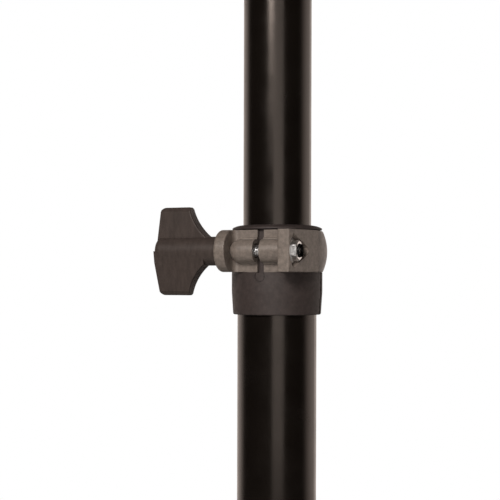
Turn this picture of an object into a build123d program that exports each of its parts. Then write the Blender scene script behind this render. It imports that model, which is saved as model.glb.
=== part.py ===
from build123d import *

import os
from math import cos, radians, sin

# Music stand: a folding tripod, a mast of two steel tubes held by a split clamp with a T-knob,
# and a sheet-steel desk on a tilting head.  Millimetres, +Z up.  The origin is on the floor, on
# the mast's axis.  The clamp's slit and the desk face -Y, where the player stands.

os.makedirs("parts", exist_ok=True)

# ---------------------------------------------------------------- driving dimensions

RUN_GAP = 0.05  # radial clearance of a running fit

# mast
CLAMP_Z = 640.0  # height of the clamp's bolt
UPPER_R = 15.0
UPPER_WALL = 1.3
UPPER_LENGTH = 600.0
UPPER_BOTTOM = 420.0
LOWER_R = 17.5
LOWER_WALL = 1.4
LOWER_BOTTOM = 176.0

# clamp collar
COLLAR_HALF = 9.1  # half its height
COLLAR_BORE = 17.65
COLLAR_EDGE_R = 20.3  # outer radius at the top and bottom edges
COLLAR_CROWN_R = 22.15  # outer radius halfway up
BOLT_Y = -20.3  # the clamp bolt runs along X at this y
EAR_Y = -18.8  # flat front faces of the ears
EAR_LEFT = -13.0  # where the left ear meets the knob's round boss
SLIT = (-1.8, 1.2)
BOSS_FACE = -18.3  # the face that the knob bears on
BOSS_R = COLLAR_HALF
BOSS_ROUND = 1.4
COLLAR_ROUND = 0.4  # rounding of its top and bottom edges
BOSS_FOOT = 2.4  # hollow curve between the boss and the ear's flat
BOSS_BACK_ROUND = 0.5  # rounding of the boss's edge towards the ear
HUMP_R = 5.0  # half-round hump over the bolt
HUMP_FOOT = 0.9  # hollow curve round the hump's foot
HUMP_END = -8.7  # centre of the left hump's round end
RIDGE = (10.15, 15.5)  # the block that holds the nut, left and right edge
RIDGE_Y = -26.5
RIDGE_TANGENT = (21.5, -6.0)  # where its side face runs out on the barrel
NUT_SEAT = 14.0
POCKET_TOP = (-3.0, 7.4)  # the nut's pocket from the bolt's axis: its upper and lower points
POCKET_FRONT = -5.6
POCKET_TIP = 9.3  # where its two long sides would meet
POCKET_TIP_R = 2.2
BOLT_HOLE_R = 2.75
SLIT_SINK = (3.3, 1.5)  # countersink of the left ear's hole at the slit, radius and depth

# clamp hardware, M5
STUD_R = 2.5
STUD_END = 18.9
NUT_FLANGE_R = 5.5
NUT_FLANGE_T = 1.4
NUT_FLATS = 8.0
NUT_HEX_END = 18.0
INSERT_R = 2.9
INSERT_DEPTH = 0.8  # how far the nylon ring goes into the nut
INSERT_END = 18.9

# sleeve on the lower tube and the slide liner inside it
SLEEVE_BOTTOM = -27.6  # all heights from here on are from the bolt
SLEEVE_TAPER_TOP = -17.5
SLEEVE_SHOULDER = -9.1
SLEEVE_R = 20.05
SLEEVE_LOW_R = 19.4
FINGER_R = (16.4, 17.6)
TUBE_STOP = -13.4  # the lower tube's top end
LINER_BOTTOM = -13.2
LINER_R = 16.3
LIP = (9.6, 11.5)
LIP_R = 19.8
LIP_RIM = 0.7  # height of the lip's upright edge
KEY_WIDTH = 2.3
KEY_EYE_R = 2.1
KEY_EYE_Z = -10.9
KEY_CLEAR = 0.15  # the dark joint line round the key
KEY_X = -0.3  # the slit's middle

FINGER_SLOTS = (-30, 30, 90, 150, 210)
SLEEVE_GROOVES = (4, 176)  # angles of the two side grooves
GROOVE_WIDTH = 1.5
GROOVE_DEPTH = 0.6

# T-knob, measured from the face that it bears on
KNOB_SHAFT_R = 6.3
KNOB_LENGTH = 29.8
WING_HALF_SPAN = 19.25
WING_T = (8.4, 5.1)  # thickness at the axis and at the tip
WING_LAP = 2.2  # how far a wing's inner face stands past the axis
WING_ARC = ((5.9, 5.9), (10.6, 10.9), (13.7, 17.6))  # its hollow side towards the collar
WING_TIP = (13.9, 28.0)  # its tip, from and to this far from the bearing face
WING_BEVEL = 1.8  # bevels along its tip, out along the wing
WING_BEVEL_DEPTH = 1.4
WING_ROUND = 0.6
WASHER_T = 1.0
WASHER_R = 5.0
STUD_IN_KNOB = 22.0

# foot of the upper tube
BUSH_LENGTH = 32.0
PLUG_FLANGE = 3.0
PLUG_DEPTH = 18.0

# tripod
HUB_CORE_R = 33.7
HUB_CORE = (205.0, 239.0)
HUB_NECK_R = 22.5
HUB_TOP = 272.0
HUB_BOTTOM = 178.0
PIVOT_R = 46.0
PIVOT_Z = 222.0
LEG_ANGLES = {"front": 270, "right": 30, "left": 150}
LEG_LEAN = 52.0  # from the vertical
LEG_R = 10.0
LEG_WALL = 1.2
FOOT_R = 13.0
FOOT_CENTRE_Z = 10.0
KNUCKLE_HALF = 10.0  # half its width between the hub's lugs
KNUCKLE_R = 12.0
LUG_GAP = 0.3
LUG_T = 6.0
LEG_BOLT_R = 4.0
LEG_WASHER_T = 1.6
KNUCKLE_TONGUE = 21.0
KNUCKLE_SOCKET = 40.0
HEEL_RISE = 17.0
FOOT_SOCKET = 34.0
FOOT_CAP = 4.0
SCREW_Z = 260.0
SCREW_R = 2.5

# tilt head and desk
HEAD_COLLAR_T = 14.0
TILT_RISE = 34.0  # from the upper tube's end to the tilt axis
LEG_BOLT_HEAD = 5.3  # height of the hexagon head
LEG_NUT = 6.5
LEG_NUT_FLATS = 13.0
LEG_NUT_COLLAR = (5.6, 1.5)  # of the locking nut, radius and height
LEG_WASHER_R = 8.0
TONGUE_HALF = 8.0
TONGUE_R = 14.0
DISC_T = 1.0  # friction discs each side of the tongue
DISC_R = 13.0
BRACKET_T = 2.5
TILT_BOLT_R = 3.0
DESK_TILT = 20.0
DESK_W = 500.0
DESK_H = 340.0
DESK_LOW = -110.0  # the desk's lower edge, up the slope from the tilt axis
DESK_BACK = 30.0  # from the tilt axis to the plate's back
DESK_T = 1.2
DESK_RIM = 8.0
SHELF_DEPTH = 55.0
SHELF_LIP = 14.0
SHELF_T = 1.5
SHELF_FLANGE = 24.0
SHELF_RIVETS = 5
SHELF_RIVET_STEP = 105.0
DESK_CORNER = 12.0
BEND_R = 1.5
HEAD_PLUG = 32.0
HEAD_COLLAR_R = 17.0
SCREW_HEAD_R = 4.5
SCREW_HEAD_T = 2.2
BRACKET_W = 90.0
BRACKET_H = 84.0
CHEEK_R = 15.0
CHEEK_ROOT = 28.0
RIVET_GRID = (66.0, 62.0)
RIVET_R = 2.4
RIVET_HEAD_R = 4.6
RIVET_HEAD_T = 1.8
TILT_BOLT_OUT = 22.0  # from the cheek's outer face to the bolt's end
BOLT_HEAD_R = 7.5
BOLT_HEAD_T = 3.5
INSERT_OUT_R = 4.6
INSERT_LENGTH = 14.0

# ---------------------------------------------------------------- worked-out values

UPPER_TOP = UPPER_BOTTOM + UPPER_LENGTH
TILT_Z = UPPER_TOP + TILT_RISE
LOWER_BORE = LOWER_R - LOWER_WALL
LEG_LENGTH = (PIVOT_Z - FOOT_CENTRE_Z) / cos(radians(LEG_LEAN))
CHEEK_IN = TONGUE_HALF + DISC_T + RUN_GAP
CHEEK_OUT = CHEEK_IN + BRACKET_T


# ---------------------------------------------------------------- helpers


def save(builder, name):
    """Label a finished piece and write it."""
    builder.part.label = name
    export_step(builder.part, f"parts/{name}.step")


def across_x(x, y=0.0, z=0.0):
    """A plane that faces +X, with +Y to its right and +Z up."""
    return Plane(origin=(x, y, z), x_dir=(0, 1, 0), z_dir=(1, 0, 0))


def leg_side(angle):
    """The upright plane through the mast's axis and a leg: outwards is its x, up is its y."""
    a = radians(angle)
    return Plane(origin=(0, 0, 0), x_dir=(cos(a), sin(a), 0), z_dir=(sin(a), -cos(a), 0))


def along_leg(angle, distance):
    """The plane square to a leg at a distance from its pivot, facing down the leg."""
    side = leg_side(angle)
    lean = radians(LEG_LEAN)
    down = side.x_dir * sin(lean) - side.y_dir * cos(lean)
    pivot = side.from_local_coords(Vector(PIVOT_R, PIVOT_Z, 0))
    return Plane(origin=pivot + down * distance, x_dir=side.z_dir, z_dir=down)


def ring(plane, outer, inner, length):
    """A plain tube or disc with a hole."""
    with BuildPart() as piece:
        with BuildSketch(plane):
            Circle(outer)
            Circle(inner, mode=Mode.SUBTRACT)
        extrude(amount=length)
    return piece


def t_knob(base, bore_r, bore_depth, insert_r=None, insert_depth=0.0):
    """A T-knob that bears on the base plane; its wings lie along the base plane's x."""
    wings = []
    for side in (1, -1):
        inner_face = Plane(
            base.origin - base.y_dir * (WING_LAP * side), x_dir=base.z_dir, z_dir=base.y_dir * side
        )
        outwards = base.x_dir * side
        with BuildPart() as wing:
            # the inner face: distance from the bearing face, and along the wing
            with BuildSketch(inner_face) as outline:
                with BuildLine():
                    ThreePointArc(*WING_ARC)
                    Polyline(
                        WING_ARC[2],
                        (WING_TIP[0], WING_HALF_SPAN),
                        (WING_TIP[1], WING_HALF_SPAN),
                        (KNOB_LENGTH, 5.0),
                        (KNOB_LENGTH, 0),
                        (WING_ARC[0][0], 0),
                        WING_ARC[0],
                    )
                make_face()
                corners = outline.vertices().group_by(Axis.Y)[-1].sort_by(Axis.X)
                fillet(corners[-1], 2.5)
                fillet(outline.vertices().group_by(Axis.Y)[-1].sort_by(Axis.X)[0], 0.8)
            extrude(amount=WING_T[0])
            # the outer face slopes in: distance out along the wing, and out of the inner face
            side_view = Plane(inner_face.origin, x_dir=outwards, z_dir=base.z_dir)
            with BuildSketch(side_view):
                with BuildLine():
                    Polyline(
                        (-2, -1),
                        (WING_HALF_SPAN, -1),
                        (WING_HALF_SPAN, WING_T[1]),
                        (0, WING_T[0]),
                        (-2, WING_T[0]),
                        close=True,
                    )
                make_face()
            extrude(amount=KNOB_LENGTH + 1, mode=Mode.INTERSECT)
            broad = wing.faces().sort_by(Axis(inner_face.origin, inner_face.z_dir))
            rims = broad[0].edges() + broad[-1].edges()
            rims = rims.filter_by(lambda e: (e.center() - base.origin).dot(outwards) > 0.5)
            fillet(rims, WING_ROUND)
            # bevels at the tip
            bevel_foot = WING_HALF_SPAN - WING_BEVEL
            slope = (WING_T[0] - WING_T[1]) / WING_HALF_SPAN
            with BuildSketch(side_view):
                with BuildLine():
                    Polyline(
                        (-3, -1),
                        (bevel_foot - 0.2, -1),
                        (bevel_foot, 0),
                        (WING_HALF_SPAN, WING_BEVEL_DEPTH),
                        (WING_HALF_SPAN, WING_T[1] - WING_BEVEL_DEPTH),
                        (bevel_foot, WING_T[0] - slope * bevel_foot),
                        (bevel_foot - 0.2, WING_T[0] + 1),
                        (-3, WING_T[0] + 1),
                        close=True,
                    )
                make_face()
            extrude(amount=KNOB_LENGTH + 1, mode=Mode.INTERSECT)
        wings.append(wing.part)
    with BuildPart() as knob:
        with BuildSketch(base.offset(RUN_GAP)):
            Circle(KNOB_SHAFT_R)
        extrude(amount=KNOB_LENGTH - RUN_GAP)
        ends = knob.edges().filter_by(GeomType.CIRCLE).sort_by(Axis(base.origin, base.z_dir))
        fillet(ends[-1], 2.4)
        chamfer(ends[0], 0.4)
        add(wings)
        with BuildSketch(base):
            Circle(WASHER_R + 0.1)
        extrude(amount=WASHER_T, mode=Mode.SUBTRACT)
        with BuildSketch(base):
            Circle(bore_r)
        extrude(amount=bore_depth, mode=Mode.SUBTRACT)
        if insert_r:
            with BuildSketch(base):
                Circle(insert_r)
            extrude(amount=WASHER_T + insert_depth, mode=Mode.SUBTRACT)
    return knob


# ---------------------------------------------------------------- mast tubes

with BuildPart() as lower_tube:
    with BuildSketch(Plane.XY.offset(LOWER_BOTTOM)):
        Circle(LOWER_R)
        Circle(LOWER_BORE, mode=Mode.SUBTRACT)
    extrude(amount=CLAMP_Z + TUBE_STOP - LOWER_BOTTOM)
save(lower_tube, "lower_tube")


# ---------------------------------------------------------------- clamp collar

with BuildPart() as boss_fillet:
    # the hollow curve between the boss's face and the ear's flat, no wider than the boss
    with BuildSketch(Plane.XY.offset(CLAMP_Z - COLLAR_HALF)):
        with BuildLine():
            Polyline(
                (EAR_LEFT, EAR_Y - BOSS_FOOT),
                (EAR_LEFT - 1, EAR_Y - BOSS_FOOT),
                (EAR_LEFT - 1, EAR_Y + 1),
                (EAR_LEFT + BOSS_FOOT, EAR_Y + 1),
                (EAR_LEFT + BOSS_FOOT, EAR_Y),
            )
            RadiusArc((EAR_LEFT + BOSS_FOOT, EAR_Y), (EAR_LEFT, EAR_Y - BOSS_FOOT), -BOSS_FOOT)
        make_face()
    extrude(amount=2 * COLLAR_HALF)
    with BuildSketch(across_x(EAR_LEFT - 1, BOLT_Y, CLAMP_Z)):
        Circle(BOSS_R - 0.05)
    extrude(amount=4, mode=Mode.INTERSECT)

with BuildPart() as hump:
    # half-round over the bolt with a hollow curve round its foot and a round left end
    swell = EAR_Y - BOLT_Y
    # distance left of the round end's centre, and out of the flat
    foot = HUMP_R + HUMP_FOOT
    with BuildSketch(Plane((HUMP_END, EAR_Y, CLAMP_Z))):
        with BuildLine():
            Polyline((0, 1), (-foot, 1), (-foot, 0))
            RadiusArc((-foot, 0), (-HUMP_R, -HUMP_FOOT), HUMP_FOOT)
            Line((-HUMP_R, -HUMP_FOOT), (-HUMP_R, -swell))
            RadiusArc((-HUMP_R, -swell), (0, -swell - HUMP_R), -HUMP_R)
            Line((0, -swell - HUMP_R), (0, 1))
        make_face()
    revolve(axis=Axis((HUMP_END, 0, CLAMP_Z), (0, 1, 0)))
    with BuildSketch(across_x(HUMP_END, EAR_Y, CLAMP_Z)):
        with BuildLine():
            Polyline((0, foot), (1, foot), (1, -foot), (0, -foot))
            RadiusArc((0, -foot), (-HUMP_FOOT, -HUMP_R), HUMP_FOOT)
            Line((-HUMP_FOOT, -HUMP_R), (-swell, -HUMP_R))
            ThreePointArc((-swell, -HUMP_R), (-swell - HUMP_R, 0), (-swell, HUMP_R))
            Line((-swell, HUMP_R), (-HUMP_FOOT, HUMP_R))
            RadiusArc((-HUMP_FOOT, HUMP_R), (0, foot), HUMP_FOOT)
        make_face()
    extrude(amount=RIDGE[0] + 0.5 - HUMP_END)

with BuildPart() as ears:
    # both ears and the block for the nut
    with BuildSketch(Plane.XY.offset(CLAMP_Z - COLLAR_HALF)):
        with BuildLine():
            Polyline(
                (EAR_LEFT, -12),
                (EAR_LEFT, EAR_Y),
                (RIDGE[0], EAR_Y),
                (RIDGE[0], RIDGE_Y),
                (RIDGE[1], RIDGE_Y),
                RIDGE_TANGENT,
                (16, -4),
                close=True,
            )
        make_face()
    extrude(amount=2 * COLLAR_HALF)
    fillet(ears.edges().filter_by(Axis.Z).sort_by(Axis.Y)[:2], 0.9)
    rims = ears.faces().filter_by(Axis.Z).edges()
    rims = rims.filter_by(lambda e: e.center().Y < EAR_Y + 0.1 or e.center().X > RIDGE[1])
    fillet(rims, COLLAR_ROUND)

with BuildPart() as clamp_collar:
    with BuildSketch(Plane.XZ):
        with BuildLine():
            Polyline(
                (COLLAR_EDGE_R, CLAMP_Z - COLLAR_HALF + COLLAR_ROUND),
                (COLLAR_EDGE_R - COLLAR_ROUND, CLAMP_Z - COLLAR_HALF),
                (COLLAR_BORE - 1, CLAMP_Z - COLLAR_HALF),
                (COLLAR_BORE - 1, CLAMP_Z + COLLAR_HALF),
                (COLLAR_EDGE_R - COLLAR_ROUND, CLAMP_Z + COLLAR_HALF),
                (COLLAR_EDGE_R, CLAMP_Z + COLLAR_HALF - COLLAR_ROUND),
            )
            ThreePointArc(
                (COLLAR_EDGE_R, CLAMP_Z + COLLAR_HALF - COLLAR_ROUND),
                (COLLAR_CROWN_R, CLAMP_Z),
                (COLLAR_EDGE_R, CLAMP_Z - COLLAR_HALF + COLLAR_ROUND),
            )
        make_face()
    revolve(axis=Axis.Z)
    # everything in front of the ears' flats goes before the ears are added
    with BuildSketch(Plane.XY.offset(CLAMP_Z - COLLAR_HALF)):
        with BuildLine():
            Polyline((EAR_LEFT, EAR_Y), (RIDGE[0], EAR_Y), (RIDGE[0], -30), (EAR_LEFT, -30), close=True)
        make_face()
    extrude(amount=2 * COLLAR_HALF, mode=Mode.SUBTRACT)
    add(ears.part)
    # round boss under the knob, with rounded rims
    with BuildSketch(Plane.XY.offset(CLAMP_Z)):
        with BuildLine():
            RadiusArc(
                (BOSS_FACE, BOLT_Y - BOSS_R + BOSS_ROUND),
                (BOSS_FACE + BOSS_ROUND, BOLT_Y - BOSS_R),
                -BOSS_ROUND,
            )
            Line((BOSS_FACE + BOSS_ROUND, BOLT_Y - BOSS_R), (EAR_LEFT - BOSS_BACK_ROUND, BOLT_Y - BOSS_R))
            RadiusArc(
                (EAR_LEFT - BOSS_BACK_ROUND, BOLT_Y - BOSS_R),
                (EAR_LEFT, BOLT_Y - BOSS_R + BOSS_BACK_ROUND),
                -BOSS_BACK_ROUND,
            )
            Polyline(
                (EAR_LEFT, BOLT_Y - BOSS_R + BOSS_BACK_ROUND),
                (EAR_LEFT, BOLT_Y),
                (BOSS_FACE, BOLT_Y),
                (BOSS_FACE, BOLT_Y - BOSS_R + BOSS_ROUND),
            )
        make_face()
    revolve(axis=Axis((0, BOLT_Y, CLAMP_Z), (1, 0, 0)))
    add(boss_fillet.part)
    add(hump.part)
    # bore, slit, bolt holes and nut pocket
    with BuildSketch(Plane.XY.offset(CLAMP_Z - COLLAR_HALF)):
        Circle(COLLAR_BORE)
    extrude(amount=2 * COLLAR_HALF, mode=Mode.SUBTRACT)
    with BuildSketch(Plane.XY.offset(CLAMP_Z - COLLAR_HALF)):
        with BuildLine():
            Polyline((SLIT[0], -30), (SLIT[1], -30), (SLIT[1], -10), (SLIT[0], -10), close=True)
        make_face()
    extrude(amount=2 * COLLAR_HALF, mode=Mode.SUBTRACT)
    with BuildSketch(across_x(BOSS_FACE - 1, BOLT_Y, CLAMP_Z)):
        Circle(BOLT_HOLE_R)
    extrude(amount=NUT_SEAT - BOSS_FACE + 2, mode=Mode.SUBTRACT)
    with BuildSketch(across_x(SLIT[0] - SLIT_SINK[1], BOLT_Y, CLAMP_Z)):
        Circle(SLIT_SINK[0])
    extrude(amount=SLIT_SINK[1] + 0.5, mode=Mode.SUBTRACT)
    with BuildSketch(across_x(NUT_SEAT, BOLT_Y, CLAMP_Z)) as pocket:
        with BuildLine():
            ThreePointArc(
                (POCKET_TOP[0], -POCKET_TOP[1]),
                (POCKET_FRONT, 0),
                POCKET_TOP,
            )
            Polyline(POCKET_TOP, (POCKET_TIP, 0), (POCKET_TOP[0], -POCKET_TOP[1]))
        make_face()
        fillet(pocket.vertices().sort_by(Axis.X)[-1], POCKET_TIP_R)
    extrude(amount=8, mode=Mode.SUBTRACT)
save(clamp_collar, "clamp_collar")

# ---------------------------------------------------------------- sleeve and liner

with BuildPart() as clamp_sleeve:
    with BuildSketch(Plane.XZ):
        with BuildLine():
            Polyline(
                (LOWER_R, CLAMP_Z + SLEEVE_BOTTOM),
                (SLEEVE_LOW_R, CLAMP_Z + SLEEVE_BOTTOM),
                (SLEEVE_R, CLAMP_Z + SLEEVE_TAPER_TOP),
                (SLEEVE_R, CLAMP_Z + SLEEVE_SHOULDER),
                (FINGER_R[1], CLAMP_Z + SLEEVE_SHOULDER),
                (FINGER_R[1], CLAMP_Z + COLLAR_HALF),
                (FINGER_R[0], CLAMP_Z + COLLAR_HALF),
                (FINGER_R[0], CLAMP_Z + TUBE_STOP),
                (LOWER_R, CLAMP_Z + TUBE_STOP),
                close=True,
            )
        make_face()
    revolve(axis=Axis.Z)
    rims = clamp_sleeve.edges().filter_by(GeomType.CIRCLE)
    fillet(rims.filter_by(lambda e: abs(e.radius - SLEEVE_LOW_R) < 0.01), 0.6)
    # slots between the spring fingers
    for angle in FINGER_SLOTS:
        with BuildSketch(leg_side(angle).offset(-0.6)):
            with BuildLine():
                Polyline(
                    (12, CLAMP_Z - 8),
                    (24, CLAMP_Z - 8),
                    (24, CLAMP_Z + 12),
                    (12, CLAMP_Z + 12),
                    close=True,
                )
            make_face()
        extrude(amount=1.2, mode=Mode.SUBTRACT)
    # two shallow grooves down the sides
    for angle in SLEEVE_GROOVES:
        with BuildSketch(leg_side(angle).offset(-GROOVE_WIDTH / 2)):
            with BuildLine():
                Polyline(
                    (SLEEVE_LOW_R - GROOVE_DEPTH, CLAMP_Z + SLEEVE_BOTTOM),
                    (SLEEVE_R + 2, CLAMP_Z + SLEEVE_BOTTOM),
                    (SLEEVE_R + 2, CLAMP_Z + SLEEVE_SHOULDER),
                    (SLEEVE_R - GROOVE_DEPTH, CLAMP_Z + SLEEVE_SHOULDER),
                    close=True,
                )
            make_face()
        extrude(amount=GROOVE_WIDTH, mode=Mode.SUBTRACT)
    # keyhole slot for the liner's key
    with BuildSketch(Plane.XZ.offset(12)):
        with BuildLine():
            half = KEY_WIDTH / 2 + KEY_CLEAR
            Polyline(
                (KEY_X - half, CLAMP_Z + KEY_EYE_Z),
                (KEY_X + half, CLAMP_Z + KEY_EYE_Z),
                (KEY_X + half, CLAMP_Z + 12),
                (KEY_X - half, CLAMP_Z + 12),
                close=True,
            )
        make_face()
        with Locations((KEY_X, CLAMP_Z + KEY_EYE_Z)):
            Circle(KEY_EYE_R + KEY_CLEAR)
    extrude(amount=12, mode=Mode.SUBTRACT)
save(clamp_sleeve, "clamp_sleeve")

with BuildPart() as liner_key:
    # keyhole-shaped rib, nearly flush with the sleeve
    with BuildSketch(Plane.XZ.offset(12)):
        with BuildLine():
            Polyline(
                (KEY_X - KEY_WIDTH / 2, CLAMP_Z + KEY_EYE_Z),
                (KEY_X + KEY_WIDTH / 2, CLAMP_Z + KEY_EYE_Z),
                (KEY_X + KEY_WIDTH / 2, CLAMP_Z + LIP[0]),
                (KEY_X - KEY_WIDTH / 2, CLAMP_Z + LIP[0]),
                close=True,
            )
        make_face()
        with Locations((KEY_X, CLAMP_Z + KEY_EYE_Z)):
            Circle(KEY_EYE_R)
    extrude(amount=12)
    with BuildSketch(Plane.XZ):
        with BuildLine():
            Polyline(
                (LINER_R - 0.3, CLAMP_Z - 14),
                (SLEEVE_R - 0.12, CLAMP_Z - 14),
                (SLEEVE_R - 0.12, CLAMP_Z + SLEEVE_SHOULDER - 0.3),
                (FINGER_R[1] - 0.1, CLAMP_Z + SLEEVE_SHOULDER - 0.3),
                (FINGER_R[1] - 0.1, CLAMP_Z + LIP[0]),
                (LINER_R - 0.3, CLAMP_Z + LIP[0]),
                close=True,
            )
        make_face()
    revolve(axis=Axis.Z, mode=Mode.INTERSECT)

with BuildPart() as sleeve_liner:
    with BuildSketch(Plane.XZ):
        bore = UPPER_R + RUN_GAP
        with BuildLine():
            Polyline(
                (bore + 0.5, CLAMP_Z + LIP[1]),
                (bore, CLAMP_Z + LIP[1] - 0.5),
                (bore, CLAMP_Z + LINER_BOTTOM),
                (LINER_R, CLAMP_Z + LINER_BOTTOM),
                (LINER_R, CLAMP_Z + LIP[0]),
                (LIP_R, CLAMP_Z + LIP[0]),
                (LIP_R, CLAMP_Z + LIP[0] + LIP_RIM),
            )
            RadiusArc((LIP_R, CLAMP_Z + LIP[0] + LIP_RIM), (bore + 0.5, CLAMP_Z + LIP[1]), -9)
        make_face()
    revolve(axis=Axis.Z)
    # split at the back, so that the clamp can close it
    with BuildSketch(Plane.XZ.offset(-12)):
        with BuildLine():
            Polyline(
                (-0.5, CLAMP_Z - 20),
                (0.5, CLAMP_Z - 20),
                (0.5, CLAMP_Z + 20),
                (-0.5, CLAMP_Z + 20),
                close=True,
            )
        make_face()
    extrude(amount=-12, mode=Mode.SUBTRACT)
    add(liner_key.part)
save(sleeve_liner, "sleeve_liner")

# ---------------------------------------------------------------- clamp bolt, nut and knob

clamp_base = Plane(origin=(BOSS_FACE, BOLT_Y, CLAMP_Z), x_dir=(0, 0, 1), z_dir=(-1, 0, 0))

clamp_knob = t_knob(clamp_base, STUD_R, STUD_IN_KNOB)
save(clamp_knob, "clamp_knob")

with BuildPart() as clamp_stud:
    with BuildSketch(clamp_base.offset(STUD_IN_KNOB)):
        Circle(STUD_R)
    extrude(amount=BOSS_FACE - STUD_END - STUD_IN_KNOB)
    chamfer(clamp_stud.edges().filter_by(GeomType.CIRCLE), 0.5)
save(clamp_stud, "clamp_stud")

clamp_thrust_washer = ring(clamp_base, WASHER_R, STUD_R + 0.2, WASHER_T)
save(clamp_thrust_washer, "clamp_thrust_washer")

with BuildPart() as clamp_nut:
    with BuildSketch(across_x(NUT_SEAT, BOLT_Y, CLAMP_Z)):
        Circle(NUT_FLANGE_R)
    extrude(amount=NUT_FLANGE_T)
    chamfer(clamp_nut.edges().filter_by(GeomType.CIRCLE).sort_by(Axis.X)[-1], NUT_FLANGE_T / 3)
    # two flats on the flange fit the pocket's long sides
    with BuildSketch(across_x(NUT_SEAT, BOLT_Y, CLAMP_Z)):
        slope = POCKET_TOP[1] / (POCKET_TIP - POCKET_TOP[0])
        start = POCKET_FRONT - 1
        half = (POCKET_TIP - start) * slope - 2 * RUN_GAP
        with BuildLine():
            Polyline((POCKET_TIP - 2 * RUN_GAP, 0), (start, half), (start, -half), close=True)
        make_face()
    extrude(amount=NUT_FLANGE_T, mode=Mode.INTERSECT)
    with BuildSketch(across_x(NUT_SEAT, BOLT_Y, CLAMP_Z)):
        RegularPolygon(NUT_FLATS / 2, 6, major_radius=False, rotation=30)
    extrude(amount=NUT_HEX_END - NUT_SEAT)
    with BuildSketch(across_x(NUT_SEAT, BOLT_Y, CLAMP_Z)):
        Circle(STUD_R + RUN_GAP)
    extrude(amount=NUT_HEX_END - NUT_SEAT, mode=Mode.SUBTRACT)
    with BuildSketch(across_x(NUT_HEX_END - INSERT_DEPTH, BOLT_Y, CLAMP_Z)):
        Circle(INSERT_R)
    extrude(amount=INSERT_DEPTH, mode=Mode.SUBTRACT)
save(clamp_nut, "clamp_nut")

with BuildPart() as clamp_nut_insert:
    with BuildSketch(across_x(NUT_HEX_END - INSERT_DEPTH, BOLT_Y, CLAMP_Z)):
        Circle(INSERT_R)
        Circle(STUD_R + RUN_GAP, mode=Mode.SUBTRACT)
    extrude(amount=INSERT_END - NUT_HEX_END + INSERT_DEPTH)
    rims = clamp_nut_insert.edges().filter_by(GeomType.CIRCLE)
    chamfer(rims.filter_by(lambda e: e.radius > STUD_R + 0.2).sort_by(Axis.X)[-1], 0.25)
save(clamp_nut_insert, "clamp_nut_insert")

# ---------------------------------------------------------------- foot of the upper tube

BUSH_BOTTOM = UPPER_BOTTOM + 0.1
guide_bush = ring(Plane.XY.offset(BUSH_BOTTOM), LOWER_BORE - RUN_GAP, UPPER_R + RUN_GAP, BUSH_LENGTH)
save(guide_bush, "guide_bush")

bush_stop_ring = ring(Plane.XY.offset(BUSH_BOTTOM + BUSH_LENGTH + 0.1), LOWER_BORE - 0.3, UPPER_R, 2.5)
save(bush_stop_ring, "bush_stop_ring")

with BuildPart() as tube_end_plug:
    with BuildSketch(Plane.XY.offset(UPPER_BOTTOM - PLUG_FLANGE)):
        Circle(LOWER_BORE - 0.3)
    extrude(amount=PLUG_FLANGE)
    with BuildSketch(Plane.XY.offset(UPPER_BOTTOM)):
        Circle(UPPER_R - UPPER_WALL)
        Circle(UPPER_R - UPPER_WALL - 2, mode=Mode.SUBTRACT)
    extrude(amount=PLUG_DEPTH)
    chamfer(tube_end_plug.edges().filter_by(GeomType.CIRCLE).sort_by(Axis.Z)[0], 0.8)
save(tube_end_plug, "tube_end_plug")

with BuildPart() as lower_tube_plug:
    with BuildSketch(Plane.XY.offset(LOWER_BOTTOM - PLUG_FLANGE)):
        Circle(LOWER_R)
    extrude(amount=PLUG_FLANGE)
    with BuildSketch(Plane.XY.offset(LOWER_BOTTOM)):
        Circle(LOWER_BORE)
        Circle(LOWER_BORE - 2, mode=Mode.SUBTRACT)
    extrude(amount=PLUG_DEPTH)
    chamfer(lower_tube_plug.edges().filter_by(GeomType.CIRCLE).sort_by(Axis.Z)[0], 1.0)
save(lower_tube_plug, "lower_tube_plug")

# ---------------------------------------------------------------- tripod

with BuildPart() as hub:
    with BuildSketch(Plane.XZ):
        with BuildLine():
            Polyline(
                (LOWER_R, HUB_BOTTOM),
                (HUB_NECK_R, HUB_BOTTOM),
                (HUB_NECK_R, HUB_CORE[0] - 8),
                (HUB_CORE_R, HUB_CORE[0]),
                (HUB_CORE_R, HUB_CORE[1]),
                (HUB_NECK_R + 2, HUB_CORE[1] + 8),
                (HUB_NECK_R, HUB_TOP),
                (LOWER_R, HUB_TOP),
                close=True,
            )
        make_face()
    revolve(axis=Axis.Z)
    rims = hub.edges().filter_by(GeomType.CIRCLE)
    fillet(rims.filter_by(lambda e: e.radius > LOWER_R + 1), 1.8)
    for angle in LEG_ANGLES.values():
        for lug in (KNUCKLE_HALF + LUG_GAP, -KNUCKLE_HALF - LUG_GAP - LUG_T):
            with BuildSketch(leg_side(angle).offset(lug)):
                with BuildLine():
                    Polyline(
                        (HUB_NECK_R, HUB_CORE[0]),
                        (PIVOT_R, HUB_CORE[0]),
                        (PIVOT_R, HUB_CORE[1]),
                        (HUB_NECK_R, HUB_CORE[1]),
                        close=True,
                    )
                make_face()
                with Locations((PIVOT_R, PIVOT_Z)):
                    Circle((HUB_CORE[1] - HUB_CORE[0]) / 2)
            extrude(amount=LUG_T)
    for angle in LEG_ANGLES.values():
        with BuildSketch(leg_side(angle).offset(-30)):
            with Locations((PIVOT_R, PIVOT_Z)):
                Circle(LEG_BOLT_R)
        extrude(amount=60, mode=Mode.SUBTRACT)
    with BuildSketch(Plane.XY.offset(HUB_BOTTOM - 1)):
        Circle(LOWER_R)
    extrude(amount=HUB_TOP - HUB_BOTTOM + 2, mode=Mode.SUBTRACT)
    for angle in LEG_ANGLES.values():
        a = radians(angle + 60)
        with BuildSketch(Plane(origin=(0, 0, SCREW_Z), x_dir=(0, 0, 1), z_dir=(cos(a), sin(a), 0))):
            Circle(SCREW_R)
        extrude(amount=40, mode=Mode.SUBTRACT)
save(hub, "hub")

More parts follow.
